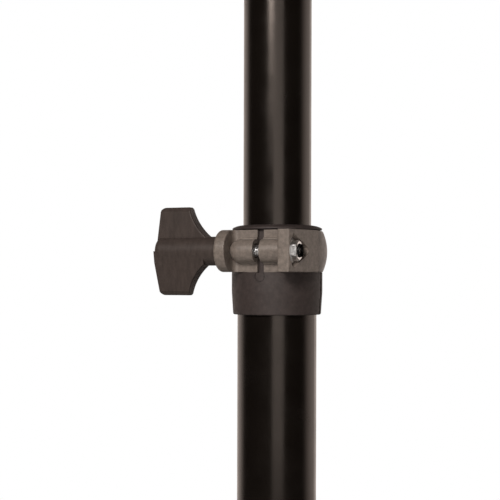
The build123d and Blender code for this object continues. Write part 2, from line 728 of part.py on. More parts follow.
with BuildPart() as hub_set_screws:
    for angle in LEG_ANGLES.values():
        a = radians(angle + 60)
        out = Plane(origin=(0, 0, SCREW_Z), x_dir=(0, 0, 1), z_dir=(cos(a), sin(a), 0))
        with BuildSketch(out.offset(LOWER_R)):
            Circle(SCREW_R)
        extrude(amount=HUB_NECK_R - LOWER_R)
        with BuildSketch(out.offset(HUB_NECK_R - 2.5)):
            RegularPolygon(1.5, 6, major_radius=False)
        extrude(amount=4, mode=Mode.SUBTRACT)
save(hub_set_screws, "hub_set_screws")

HEAD_FACE = KNUCKLE_HALF + LUG_GAP + LUG_T + LEG_WASHER_T

with BuildPart() as leg_bolts:
    for angle in LEG_ANGLES.values():
        with BuildSketch(leg_side(angle).offset(-HEAD_FACE)):
            with Locations((PIVOT_R, PIVOT_Z)):
                Circle(LEG_BOLT_R)
        extrude(amount=2 * HEAD_FACE + 9)
        with BuildSketch(leg_side(angle).offset(-HEAD_FACE - LEG_BOLT_HEAD)):
            with Locations((PIVOT_R, PIVOT_Z)):
                RegularPolygon(LEG_NUT_FLATS / 2, 6, major_radius=False)
        extrude(amount=LEG_BOLT_HEAD)
save(leg_bolts, "leg_bolts")

with BuildPart() as leg_bolt_washers:
    for angle in LEG_ANGLES.values():
        for start in (HEAD_FACE - LEG_WASHER_T, -HEAD_FACE):
            with BuildSketch(leg_side(angle).offset(start)):
                with Locations((PIVOT_R, PIVOT_Z)):
                    Circle(LEG_WASHER_R)
                    Circle(LEG_BOLT_R, mode=Mode.SUBTRACT)
            extrude(amount=LEG_WASHER_T)
save(leg_bolt_washers, "leg_bolt_washers")

with BuildPart() as leg_lock_nuts:
    for angle in LEG_ANGLES.values():
        with BuildSketch(leg_side(angle).offset(HEAD_FACE)):
            with Locations((PIVOT_R, PIVOT_Z)):
                RegularPolygon(LEG_NUT_FLATS / 2, 6, major_radius=False)
                Circle(LEG_BOLT_R, mode=Mode.SUBTRACT)
        extrude(amount=LEG_NUT)
        with BuildSketch(leg_side(angle).offset(HEAD_FACE + LEG_NUT)):
            with Locations((PIVOT_R, PIVOT_Z)):
                Circle(LEG_NUT_COLLAR[0])
                Circle(LEG_BOLT_R, mode=Mode.SUBTRACT)
        extrude(amount=LEG_NUT_COLLAR[1])
save(leg_lock_nuts, "leg_lock_nuts")

for leg, angle in LEG_ANGLES.items():
    with BuildPart() as leg_knuckle:
        with BuildSketch(leg_side(angle)):
            with Locations((PIVOT_R, PIVOT_Z)):
                Circle(KNUCKLE_R)
                Rectangle(
                    KNUCKLE_TONGUE,
                    2 * KNUCKLE_R,
                    rotation=LEG_LEAN - 90,
                    align=(Align.MIN, Align.CENTER),
                )
            # the heel that stops against the hub when the leg is down
            with BuildLine():
                Polyline(
                    (PIVOT_R - KNUCKLE_R, PIVOT_Z),
                    (PIVOT_R - KNUCKLE_R, PIVOT_Z + HEEL_RISE),
                    (PIVOT_R + 3, PIVOT_Z + HEEL_RISE),
                    (PIVOT_R + 10, PIVOT_Z + 6),
                    (PIVOT_R, PIVOT_Z),
                    close=True,
                )
            make_face()
        extrude(amount=KNUCKLE_HALF, both=True)
        across = leg_knuckle.edges().filter_by(Axis((0, 0, 0), leg_side(angle).z_dir))
        fillet(across.sort_by(Axis.Z)[-2:], 2.0)
        with BuildSketch(along_leg(angle, KNUCKLE_TONGUE - 2)):
            Circle(KNUCKLE_R)
        extrude(amount=KNUCKLE_SOCKET)
        fillet(leg_knuckle.edges().filter_by(GeomType.CIRCLE).sort_by(
            Axis(along_leg(angle, 0).origin, along_leg(angle, 0).z_dir))[-1], 1.2)
        with BuildSketch(along_leg(angle, KNUCKLE_TONGUE + 6)):
            Circle(LEG_R)
        extrude(amount=KNUCKLE_SOCKET, mode=Mode.SUBTRACT)
        with BuildSketch(leg_side(angle).offset(-20)):
            with Locations((PIVOT_R, PIVOT_Z)):
                Circle(LEG_BOLT_R + RUN_GAP)
        extrude(amount=40, mode=Mode.SUBTRACT)
    save(leg_knuckle, f"leg_{leg}_knuckle")

    tube_start = KNUCKLE_TONGUE + 6
    leg_tube = ring(
        along_leg(angle, tube_start), LEG_R, LEG_R - LEG_WALL, LEG_LENGTH - FOOT_CAP - tube_start
    )
    save(leg_tube, f"leg_{leg}_tube")

    with BuildPart() as leg_foot:
        with BuildSketch(along_leg(angle, LEG_LENGTH - FOOT_SOCKET)):
            Circle(FOOT_R)
        extrude(amount=FOOT_SOCKET)
        fillet(leg_foot.edges().filter_by(GeomType.CIRCLE).sort_by(Axis.Z)[-1], 1.0)
        with Locations(along_leg(angle, LEG_LENGTH).origin):
            Sphere(FOOT_R)
        with BuildSketch(Plane.XY.offset(-20)):
            Rectangle(900, 900)
        extrude(amount=20, mode=Mode.SUBTRACT)
        with BuildSketch(along_leg(angle, LEG_LENGTH - FOOT_SOCKET)):
            Circle(LEG_R)
        extrude(amount=FOOT_SOCKET - FOOT_CAP, mode=Mode.SUBTRACT)
    save(leg_foot, f"leg_{leg}_foot")

# ---------------------------------------------------------------- tilt head

with BuildPart() as tilt_head:
    with BuildSketch(Plane.XY.offset(UPPER_TOP - HEAD_PLUG)):
        Circle(UPPER_R - UPPER_WALL)
    extrude(amount=HEAD_PLUG)
    with BuildSketch(Plane.XY.offset(UPPER_TOP)):
        Circle(HEAD_COLLAR_R)
    extrude(amount=HEAD_COLLAR_T)
    rims = tilt_head.edges().filter_by(GeomType.CIRCLE).filter_by(lambda e: e.radius > UPPER_R)
    fillet(rims, 1.5)
    with BuildSketch(Plane.YZ.offset(-TONGUE_HALF)):
        with BuildLine():
            Polyline(
                (-TONGUE_R, UPPER_TOP + HEAD_COLLAR_T - 2),
                (TONGUE_R, UPPER_TOP + HEAD_COLLAR_T - 2),
                (TONGUE_R, TILT_Z),
                (-TONGUE_R, TILT_Z),
                close=True,
            )
        make_face()
        with Locations((0, TILT_Z)):
            Circle(TONGUE_R)
    extrude(amount=2 * TONGUE_HALF)
    with BuildSketch(Plane.YZ.offset(-TONGUE_HALF)):
        with Locations((0, TILT_Z)):
            Circle(TILT_BOLT_R + RUN_GAP)
    extrude(amount=2 * TONGUE_HALF, mode=Mode.SUBTRACT)
    with BuildSketch(Plane.XZ.offset(-30)):
        with Locations((0, UPPER_TOP - HEAD_PLUG / 2)):
            Circle(SCREW_R)
    extrude(amount=60, mode=Mode.SUBTRACT)
save(tilt_head, "tilt_head")

# the tube is drilled for the two screws that hold the head
with BuildPart() as upper_tube:
    with BuildSketch(Plane.XY.offset(UPPER_BOTTOM)):
        Circle(UPPER_R)
        Circle(UPPER_R - UPPER_WALL, mode=Mode.SUBTRACT)
    extrude(amount=UPPER_LENGTH)
    with BuildSketch(Plane.XZ.offset(-30)):
        with Locations((0, UPPER_TOP - HEAD_PLUG / 2)):
            Circle(SCREW_R)
    extrude(amount=60, mode=Mode.SUBTRACT)
save(upper_tube, "upper_tube")

with BuildPart() as tilt_head_screws:
    for side in (1, -1):
        face = Plane(origin=(0, 0, UPPER_TOP - HEAD_PLUG / 2), x_dir=(side, 0, 0), z_dir=(0, -side, 0))
        with BuildSketch(face.offset(4)):
            Circle(SCREW_R)
        extrude(amount=UPPER_R - 4)
        with BuildSketch(face.offset(UPPER_R)):
            Circle(SCREW_HEAD_R)
        extrude(amount=SCREW_HEAD_T)
        head = tilt_head_screws.edges().filter_by(GeomType.CIRCLE).filter_by(
            lambda e: e.radius > SCREW_R + 0.5 and abs(e.center().Y) > UPPER_R + 0.5
        )
        if side == 1:
            fillet(head, 1.2)
        else:
            fillet(head.sort_by(Axis.Y)[-1], 1.2)
save(tilt_head_screws, "tilt_head_screws")

with BuildPart() as tilt_friction_discs:
    for start in (TONGUE_HALF, -TONGUE_HALF - DISC_T):
        with BuildSketch(across_x(start, 0, TILT_Z)):
            Circle(DISC_R)
            Circle(TILT_BOLT_R + RUN_GAP, mode=Mode.SUBTRACT)
        extrude(amount=DISC_T)
save(tilt_friction_discs, "tilt_friction_discs")

# ---------------------------------------------------------------- desk

# the desk's own plane: x across, y up the slope, z towards the player, from the tilt axis
tilt = radians(DESK_TILT)
desk_plane = Plane(origin=(0, 0, TILT_Z), x_dir=(1, 0, 0), z_dir=(0, -cos(tilt), sin(tilt)))
cheek_plane = Plane(origin=(0, 0, TILT_Z), x_dir=desk_plane.y_dir, z_dir=(1, 0, 0))
desk_middle = DESK_LOW + DESK_H / 2

with BuildPart() as desk_bracket:
    with BuildSketch(desk_plane.offset(DESK_BACK - BRACKET_T)):
        RectangleRounded(BRACKET_W, BRACKET_H, 8)
    extrude(amount=BRACKET_T)
    for start in (CHEEK_IN, -CHEEK_OUT):
        with BuildSketch(cheek_plane.offset(start)):
            with BuildLine():
                Polyline(
                    (-CHEEK_ROOT, DESK_BACK - BRACKET_T / 2),
                    (-CHEEK_R, 0),
                    (CHEEK_R, 0),
                    (CHEEK_ROOT, DESK_BACK - BRACKET_T / 2),
                    close=True,
                )
            make_face()
            Circle(CHEEK_R)
            Circle(TILT_BOLT_R, mode=Mode.SUBTRACT)
        extrude(amount=BRACKET_T)
    with BuildSketch(desk_plane):
        with GridLocations(RIVET_GRID[0], RIVET_GRID[1], 2, 2):
            Circle(RIVET_R)
    extrude(amount=DESK_BACK + 5, mode=Mode.SUBTRACT)
save(desk_bracket, "desk_bracket")

with BuildPart() as desk_plate:
    # a pressed tray: flat sheet with the rims turned back on all four sides
    with BuildSketch(desk_plane.offset(DESK_BACK - DESK_RIM)):
        with Locations((0, desk_middle)):
            RectangleRounded(DESK_W, DESK_H, DESK_CORNER)
    extrude(amount=DESK_RIM + DESK_T)
    fillet(desk_plate.faces().sort_by(Axis((0, 0, 0), desk_plane.z_dir))[-1].edges(), 1.1)
    with BuildSketch(desk_plane.offset(DESK_BACK - DESK_RIM)):
        with Locations((0, desk_middle)):
            RectangleRounded(DESK_W - 2 * DESK_T, DESK_H - 2 * DESK_T, DESK_CORNER - DESK_T)
    extrude(amount=DESK_RIM, mode=Mode.SUBTRACT)
    with BuildSketch(desk_plane.offset(DESK_BACK)):
        with GridLocations(RIVET_GRID[0], RIVET_GRID[1], 2, 2):
            Circle(RIVET_R)
        with Locations((0, DESK_LOW + SHELF_FLANGE / 2)):
            with GridLocations(SHELF_RIVET_STEP, 1, SHELF_RIVETS, 1):
                Circle(RIVET_R)
    extrude(amount=DESK_T, mode=Mode.SUBTRACT)
save(desk_plate, "desk_plate")

with BuildPart() as desk_shelf:
    # profile of the bent sheet, seen along X: up the slope is its x, towards the player its y
    front = DESK_BACK + DESK_T
    with BuildSketch(cheek_plane.offset(-DESK_W / 2)):
        with BuildLine():
            Polyline(
                (DESK_LOW + SHELF_FLANGE, front),
                (DESK_LOW - SHELF_T, front),
                (DESK_LOW - SHELF_T, front + SHELF_DEPTH),
                (DESK_LOW + SHELF_LIP, front + SHELF_DEPTH),
                (DESK_LOW + SHELF_LIP, front + SHELF_DEPTH - SHELF_T),
                (DESK_LOW, front + SHELF_DEPTH - SHELF_T),
                (DESK_LOW, front + SHELF_T),
                (DESK_LOW + SHELF_FLANGE, front + SHELF_T),
                close=True,
            )
        make_face()
    extrude(amount=DESK_W)
    # each bend has a small inner radius and a larger outer one
    tip = front + SHELF_DEPTH
    bends = (
        (DESK_LOW - SHELF_T, front, BEND_R + SHELF_T),
        (DESK_LOW, front + SHELF_T, BEND_R),
        (DESK_LOW - SHELF_T, tip, BEND_R + SHELF_T),
        (DESK_LOW, tip - SHELF_T, BEND_R),
    )
    for up, out, radius in bends:
        spot = cheek_plane.from_local_coords(Vector(up, out, 0))
        edges = desk_shelf.edges().filter_by(Axis.X)
        fillet(edges.sort_by_distance(Vector(0, spot.Y, spot.Z))[0], radius)
    with BuildSketch(desk_plane.offset(front)):
        with Locations((0, DESK_LOW + SHELF_FLANGE / 2)):
            with GridLocations(SHELF_RIVET_STEP, 1, SHELF_RIVETS, 1):
                Circle(RIVET_R)
    extrude(amount=SHELF_T, mode=Mode.SUBTRACT)
save(desk_shelf, "desk_shelf")


def rivets(name, spots, low, high):
    """Round-headed rivets through the sheets between two heights over the desk's plane."""
    with BuildPart() as pins:
        for x, y in spots:
            middle = desk_plane.from_local_coords(Vector(x, y, 0))
            spot = Plane(middle, x_dir=(1, 0, 0), z_dir=desk_plane.z_dir)
            with BuildSketch(spot.offset(low)):
                Circle(RIVET_R)
            extrude(amount=high - low)
            with BuildSketch(spot.offset(high)):
                Circle(RIVET_HEAD_R)
            extrude(amount=RIVET_HEAD_T, taper=38)
            with BuildSketch(spot.offset(low - 1)):
                Circle(RIVET_HEAD_R * 0.8)
            extrude(amount=1)
    save(pins, name)


rivets(
    "bracket_rivets",
    [(x * RIVET_GRID[0] / 2, y * RIVET_GRID[1] / 2) for x in (-1, 1) for y in (-1, 1)],
    DESK_BACK - BRACKET_T,
    DESK_BACK + DESK_T,
)
rivets(
    "shelf_rivets",
    [
        ((i - (SHELF_RIVETS - 1) / 2) * SHELF_RIVET_STEP, DESK_LOW + SHELF_FLANGE / 2)
        for i in range(SHELF_RIVETS)
    ],
    DESK_BACK,
    DESK_BACK + DESK_T + SHELF_T,
)

# ---------------------------------------------------------------- tilt bolt and its knob

tilt_base = Plane(origin=(CHEEK_OUT, 0, TILT_Z), x_dir=(0, 0, 1), z_dir=(1, 0, 0))

with BuildPart() as tilt_bolt:
    with BuildSketch(across_x(-CHEEK_OUT, 0, TILT_Z)):
        Circle(TILT_BOLT_R)
    extrude(amount=2 * CHEEK_OUT + TILT_BOLT_OUT)
    chamfer(tilt_bolt.edges().filter_by(GeomType.CIRCLE).sort_by(Axis.X)[-1], 0.5)
    # round head of a carriage bolt
    with BuildSketch(across_x(-CHEEK_OUT - BOLT_HEAD_T, 0, TILT_Z)):
        Circle(BOLT_HEAD_R)
    extrude(amount=BOLT_HEAD_T)
    fillet(tilt_bolt.edges().filter_by(GeomType.CIRCLE).sort_by(Axis.X)[0], BOLT_HEAD_T * 0.8)
save(tilt_bolt, "tilt_bolt")

tilt_washer = ring(tilt_base, WASHER_R, TILT_BOLT_R + 0.2, WASHER_T)
save(tilt_washer, "tilt_washer")

tilt_knob = t_knob(tilt_base, TILT_BOLT_R + 0.4, TILT_BOLT_OUT + 2, INSERT_OUT_R, INSERT_LENGTH)
save(tilt_knob, "tilt_knob")

tilt_knob_insert = ring(tilt_base.offset(WASHER_T), INSERT_OUT_R, TILT_BOLT_R + RUN_GAP, INSERT_LENGTH)
save(tilt_knob_insert, "tilt_knob_insert")
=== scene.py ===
import math

import bpy
import numpy as np
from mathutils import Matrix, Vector


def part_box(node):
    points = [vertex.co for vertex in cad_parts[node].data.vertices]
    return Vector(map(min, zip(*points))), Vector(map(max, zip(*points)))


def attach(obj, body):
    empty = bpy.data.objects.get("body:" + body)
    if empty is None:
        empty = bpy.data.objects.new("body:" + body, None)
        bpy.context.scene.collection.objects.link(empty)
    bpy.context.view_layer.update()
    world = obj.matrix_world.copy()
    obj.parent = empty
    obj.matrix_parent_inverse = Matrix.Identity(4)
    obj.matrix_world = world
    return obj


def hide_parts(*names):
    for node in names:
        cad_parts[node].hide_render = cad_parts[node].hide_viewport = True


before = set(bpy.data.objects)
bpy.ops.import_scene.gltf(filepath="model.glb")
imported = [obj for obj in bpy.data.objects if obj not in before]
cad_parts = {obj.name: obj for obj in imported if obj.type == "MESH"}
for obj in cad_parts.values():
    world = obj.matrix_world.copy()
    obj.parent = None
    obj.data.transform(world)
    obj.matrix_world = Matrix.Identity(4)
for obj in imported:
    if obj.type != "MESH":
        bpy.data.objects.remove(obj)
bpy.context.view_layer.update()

bl_info = {
    "name": "Music Stand",
    "version": (1, 0, 0),
    "blender": (4, 5, 0),
    "location": "View3D > Sidebar > Music Stand",
    "description": "Finishes and fine details of a telescopic music stand with a split clamp",
    "category": "Object",
}

MM = 0.001

# clamp nut, its locking ring and the stud, in metres
NUT_FLATS = 8.0 * MM
NUT_EASE = 50  # the higher, the sharper its corners
NUT_RIM = 0.12 * MM  # bevel on its rims
FLANGE_R = 5.5 * MM
FLANGE_T = 1.4 * MM
FLANGE_EDGE = 0.45 * MM
FLANGE_CUT = 4.7 * MM  # from the bolt's axis to the pocket's long sides
FLANGE_CUT_LEAN = 31  # how far those sides lean, in degrees
BORE_R = 2.55 * MM
WELL_R = 2.9 * MM
WELL_DEPTH = 0.8 * MM
CHAMFER = 0.5 * MM
CHAMFER_R = 3.85 * MM
CHAMFER_SPREAD = 0.9 * MM
RING_OUT = 0.03 * MM  # clearance between the locking ring and its well
RING_IN = 0.05 * MM  # how much wider the ring's bore is than the nut's
STUD_POINT = 0.6 * MM
STUD_SHORT = 1.2 * MM  # how much shorter the stud is than in the CAD
CREST = 0.125  # half the crest's flat, as a share of half the pitch
FLANK = 0.625  # the flank's width, as a share of half the pitch

# the stage
SENSOR = 36.0  # the camera sensor's width, in millimetres
FLOOR_DROP = 0.0002  # how far the floor lies below the feet, in metres
FLOOR_PAINT = (0.86, 0.86, 0.85)
FLOOR_LIGHT = (1.0, 0.99, 0.98, 1)
BACKDROP_COLOUR = (1.0, 0.86, 0.78, 1)
BACKDROP_TURN = math.radians(13)  # how far its middle is turned from straight behind the clamp
BACKDROP_ROUND = (0.05, 0.5, 0.02, 1.0)  # cosine to its middle, from and to; strength, from and to
BACKDROP_HEIGHT = (0.2, 0.5, 1.0, 0.05)  # sine of the height, from and to; strength, from and to
PANEL_COLOUR = (1.0, 0.95, 0.91)
PANELS = (  # name, degrees from the camera, elevation, distance in metres, size in metres, watts
    ("key_panel", -24, 27, 1.6, (0.45, 0.45), 17.0),
    ("front_panel", 2, 4, 1.7, (1.0, 1.0), 5.0),
)

# finishes
BRIGHT_ZINC = (0.78, 0.79, 0.8)
PALE_ZINC = (0.86, 0.86, 0.86)
BRASS = (0.75, 0.55, 0.25)
ACETAL = (0.7, 0.68, 0.62)
RUBBER = (0.02, 0.019, 0.018)
RING_NYLON = (0.004, 0.004, 0.004)
INSERT_NYLON = (0.006, 0.006, 0.007)
COAT_TINT = (1.0, 0.87, 0.79, 1)  # colour of the powder coat's highlights
KNOB_SHINE = 0.25  # strength of the knobs' highlights, 0.5 being plain plastic
RING_SHINE = 0.15

# ---------------------------------------------------------------- places, from the frame


def middle(node):
    """The middle of a CAD node's box, in metres."""
    low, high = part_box(node)
    return (np.array(low) + np.array(high)) / 2


def span(node, axis):
    """The lowest and highest place of a CAD node along an axis, in metres."""
    low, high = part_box(node)
    return low[axis], high[axis]


def of_the_legs(part):
    """The CAD nodes of one kind of part on the three legs."""
    names = [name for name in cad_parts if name.startswith("leg_")]
    return [name for name in names if name.endswith("_" + part)]


BOLT = middle("clamp_stud")  # the clamp bolt's axis runs along X through here
MAST_X, MAST_Y = middle("upper_tube")[:2]


# ---------------------------------------------------------------- settings


class StandFinish(bpy.types.PropertyGroup):
    """Colours and roughness of the stand's finishes."""

    tube_colour: bpy.props.FloatVectorProperty(
        name="Tube colour",
        description="Powder coat of the mast and the legs",
        subtype="COLOR",
        size=3,
        min=0,
        max=1,
        default=(0.0060, 0.0045, 0.0036),
    )
    tube_roughness: bpy.props.FloatProperty(
        name="Tube roughness",
        description="How matt the powder coat is",
        subtype="FACTOR",
        min=0,
        max=1,
        default=0.23,
    )
    collar_colour: bpy.props.FloatVectorProperty(
        name="Collar colour",
        description="Glass-filled nylon of the split clamp",
        subtype="COLOR",
        size=3,
        min=0,
        max=1,
        default=(0.220, 0.183, 0.157),
    )
    sleeve_colour: bpy.props.FloatVectorProperty(
        name="Sleeve colour",
        description="Nylon of the sleeve, the liner, the hub and the knuckles",
        subtype="COLOR",
        size=3,
        min=0,
        max=1,
        default=(0.048, 0.035, 0.032),
    )
    knob_colour: bpy.props.FloatVectorProperty(
        name="Knob colour",
        description="Plastic of the two T-knobs",
        subtype="COLOR",
        size=3,
        min=0,
        max=1,
        default=(0.064, 0.049, 0.043),
    )
    desk_colour: bpy.props.FloatVectorProperty(
        name="Desk colour",
        description="Textured powder coat of the desk",
        subtype="COLOR",
        size=3,
        min=0,
        max=1,
        default=(0.012, 0.010, 0.009),
    )


class StandThread(bpy.types.PropertyGroup):
    """The clamp stud's thread."""

    pitch: bpy.props.FloatProperty(
        name="Pitch",
        description="Distance from one thread crest to the next",
        unit="LENGTH",
        min=0.0002,
        max=0.002,
        default=0.0008,
        precision=5,
    )
    depth: bpy.props.FloatProperty(
        name="Thread depth",
        description="From the crest to the root",
        unit="LENGTH",
        min=0.0001,
        max=0.001,
        default=0.00046,
        precision=5,
    )


class StandStage(bpy.types.PropertyGroup):
    """The camera, the lights and the floor."""

    azimuth: bpy.props.FloatProperty(
        name="Camera azimuth",
        description="How far the camera stands round from the front of the clamp",
        subtype="ANGLE",
        default=math.radians(22.5),
    )
    distance: bpy.props.FloatProperty(
        name="Camera distance",
        description="From the mast's axis to the camera",
        unit="LENGTH",
        min=0.2,
        max=5.0,
        default=0.52,
    )
    lens: bpy.props.FloatProperty(
        name="Lens",
        description="Focal length on a 36 mm sensor, in millimetres",
        min=20,
        max=200,
        default=84.5,
    )
    eye_drop: bpy.props.FloatProperty(
        name="Eye below the bolt",
        description="How far the camera stands below the clamp's bolt",
        unit="LENGTH",
        default=0.012,
    )
    eye_left: bpy.props.FloatProperty(
        name="Eye to the left",
        description="How far the camera stands to the left of the line through the mast",
        unit="LENGTH",
        default=0.012,
    )
    aim: bpy.props.FloatProperty(
        name="Aim above the bolt",
        description="How far above the clamp's bolt the picture's middle is",
        unit="LENGTH",
        default=0.0008,
    )
    roll: bpy.props.FloatProperty(
        name="Camera roll",
        description="How far the camera leans about its own line of sight",
        subtype="ANGLE",
        default=math.radians(0.157),
    )
    floor_radius: bpy.props.FloatProperty(
        name="Floor radius",
        description="Radius of the pale floor",
        unit="LENGTH",
        min=0.5,
        max=10,
        default=2.2,
    )
    floor_glow: bpy.props.FloatProperty(
        name="Floor glow",
        description="How much the camera sees the floor shine by itself",
        min=0,
        max=1,
        default=0.72,
    )


# ---------------------------------------------------------------- material tools


def set_range(node, limits):
    """Sets a Map Range node: from its lowest and highest input to its first and last result."""
    for name, value in zip(("From Min", "From Max", "To Min", "To Max"), limits):
        node.inputs[name].default_value = value


class Finish:
    """A procedural material on Object coordinates, built up a node at a time."""

    def __init__(self, name, roughness, metallic=0.0):
        self.material = bpy.data.materials.new(name)
        self.material.use_nodes = True
        self.nodes = self.material.node_tree.nodes
        self.links = self.material.node_tree.links
        self.shader = self.nodes["Principled BSDF"]
        self.shader.inputs["Roughness"].default_value = roughness
        self.shader.inputs["Metallic"].default_value = metallic
        self.place = self.nodes.new("ShaderNodeTexCoord").outputs["Object"]
        self.normal = None

    def noise(self, size, stretch=(1, 1, 1), detail=3.0, roughness=0.55):
        """Noise with features about a size across, in metres, drawn out along each axis."""
        mapping = self.nodes.new("ShaderNodeMapping")
        mapping.inputs["Scale"].default_value = [1 / (size * s) for s in stretch]
        self.links.new(self.place, mapping.inputs["Vector"])
        noise = self.nodes.new("ShaderNodeTexNoise")
        noise.inputs["Scale"].default_value = 1.0
        noise.inputs["Detail"].default_value = detail
        noise.inputs["Roughness"].default_value = roughness
        self.links.new(mapping.outputs["Vector"], noise.inputs["Vector"])
        return noise.outputs["Fac"]

    def ramp(self, factor, low, high, start, end):
        """A colour ramp from low to high as the factor goes from start to end."""
        ramp = self.nodes.new("ShaderNodeValToRGB")
        ramp.color_ramp.elements[0].position = start
        ramp.color_ramp.elements[0].color = (*low, 1)
        ramp.color_ramp.elements[1].position = end
        ramp.color_ramp.elements[1].color = (*high, 1)
        self.links.new(factor, ramp.inputs["Fac"])
        return ramp.outputs["Color"]

    def spread(self, factor, low, high):
        """A plain number from low to high as the factor goes over the middle of a noise's range."""
        spread = self.nodes.new("ShaderNodeMapRange")
        set_range(spread, (0.3, 0.7, low, high))
        self.links.new(factor, spread.inputs["Value"])
        return spread.outputs["Result"]

    def colour(self, factor, base, contrast, start=0.3, end=0.7):
        """Base colour that varies by a share of itself each way."""
        low = [c * (1 - contrast) for c in base]
        high = [min(1.0, c * (1 + contrast)) for c in base]
        self.links.new(self.ramp(factor, low, high, start, end), self.shader.inputs["Base Color"])

    def rough(self, factor, low, high):
        """Roughness that varies between two values."""
        self.links.new(self.spread(factor, low, high), self.shader.inputs["Roughness"])

    def bump(self, factor, height, strength=1.0):
        """A relief of a height in metres, on top of those given before."""
        bump = self.nodes.new("ShaderNodeBump")
        bump.inputs["Strength"].default_value = strength
        bump.inputs["Distance"].default_value = height
        self.links.new(factor, bump.inputs["Height"])
        if self.normal:
            self.links.new(self.normal, bump.inputs["Normal"])
        self.normal = bump.outputs["Normal"]
        self.links.new(self.normal, self.shader.inputs["Normal"])

    def put_on(self, *names):
        """Gives the material to pieces or CAD nodes by name."""
        for name in names:
            mesh = bpy.data.objects[name].data
            mesh.materials.clear()
            mesh.materials.append(self.material)


def powder_coat(name, colour, roughness, texture, texture_size):
    """Satin or textured powder coat: orange peel, fine grit and faint cloudiness."""
    finish = Finish(name, roughness)
    finish.colour(finish.noise(30 * MM), colour, 0.18)
    finish.rough(finish.noise(12 * MM, detail=5), roughness - 0.04, roughness + 0.05)
    finish.bump(finish.noise(texture_size, detail=4), texture)
    finish.shader.inputs["Specular Tint"].default_value = COAT_TINT
    return finish


def moulded(name, colour, roughness, contrast, grain, stretch=(1, 1, 1), mottle=2.5):
    """Moulded plastic or rubber: mottled by its filler, with a fine spark-eroded grain.

    The mottle and the grain are the sizes of their features, in millimetres.
    """
    finish = Finish(name, roughness)
    cloud = finish.noise(mottle * MM, stretch, detail=6, roughness=0.7)
    finish.colour(cloud, colour, contrast, 0.32, 0.68)
    finish.rough(finish.noise(1.5 * MM, stretch), roughness - 0.06, roughness + 0.08)
    finish.bump(finish.noise(grain * MM, stretch, detail=4), 0.05 * MM, 0.5)
    finish.bump(finish.noise(4 * MM, detail=2), 0.12 * MM, 0.35)
    return finish


def plated(name, colour, roughness):
    """Bright zinc plate, a little uneven."""
    finish = Finish(name, roughness, metallic=1.0)
    finish.colour(finish.noise(1.2 * MM, detail=5), colour, 0.08)
    finish.rough(finish.noise(0.6 * MM), max(0.05, roughness - 0.07), roughness + 0.1)
    finish.bump(finish.noise(0.4 * MM), 0.02 * MM, 0.4)
    return finish


# ---------------------------------------------------------------- mesh tools


def surface(name, points, body, closed_rows=False):
    """A closed mesh from a grid of points (rows, columns, 3) whose columns close on themselves.

    The rows may close too. Where they don't, the first and last are drawn in to their middle.
    """
    rows, columns = points.shape[:2]
    grid = np.arange(rows * columns).reshape(rows, columns)
    if closed_rows:
        grid = np.vstack([grid, grid[:1]])
    a = grid[:-1]
    b = grid[1:]
    vertices = points.reshape(-1, 3)
    faces = np.stack([a, np.roll(a, -1, 1), np.roll(b, -1, 1), b], -1).reshape(-1, 4).tolist()
    if not closed_rows:
        count = len(vertices)
        vertices = np.vstack([vertices, points[:1].mean(1), points[-1:].mean(1)])
        start = np.stack([np.roll(grid[0], -1), grid[0], np.full(columns, count)], -1)
        end = np.stack([grid[-1], np.roll(grid[-1], -1), np.full(columns, count + 1)], -1)
        faces += start.tolist() + end.tolist()
    mesh = bpy.data.meshes.new(name)
    mesh.from_pydata(vertices.tolist(), [], faces)
    mesh.validate()
    piece = bpy.data.objects.new(name, mesh)
    bpy.context.scene.collection.objects.link(piece)
    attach(piece, body)
    return piece


def smooth(piece, angle):
    """Smooth shading that keeps edges sharper than an angle, in degrees."""
    mesh = piece.data
    mesh.shade_smooth()
    mesh.set_sharp_from_angle(angle=math.radians(angle))


def round_x(x, radius, angle, centre):
    """Points round an X axis through a centre: (x, cy + r cos a, cz + r sin a)."""
    return np.stack(
        [x + 0 * angle, centre[1] + radius * np.cos(angle), centre[2] + radius * np.sin(angle)], -1
    )


# ---------------------------------------------------------------- operators


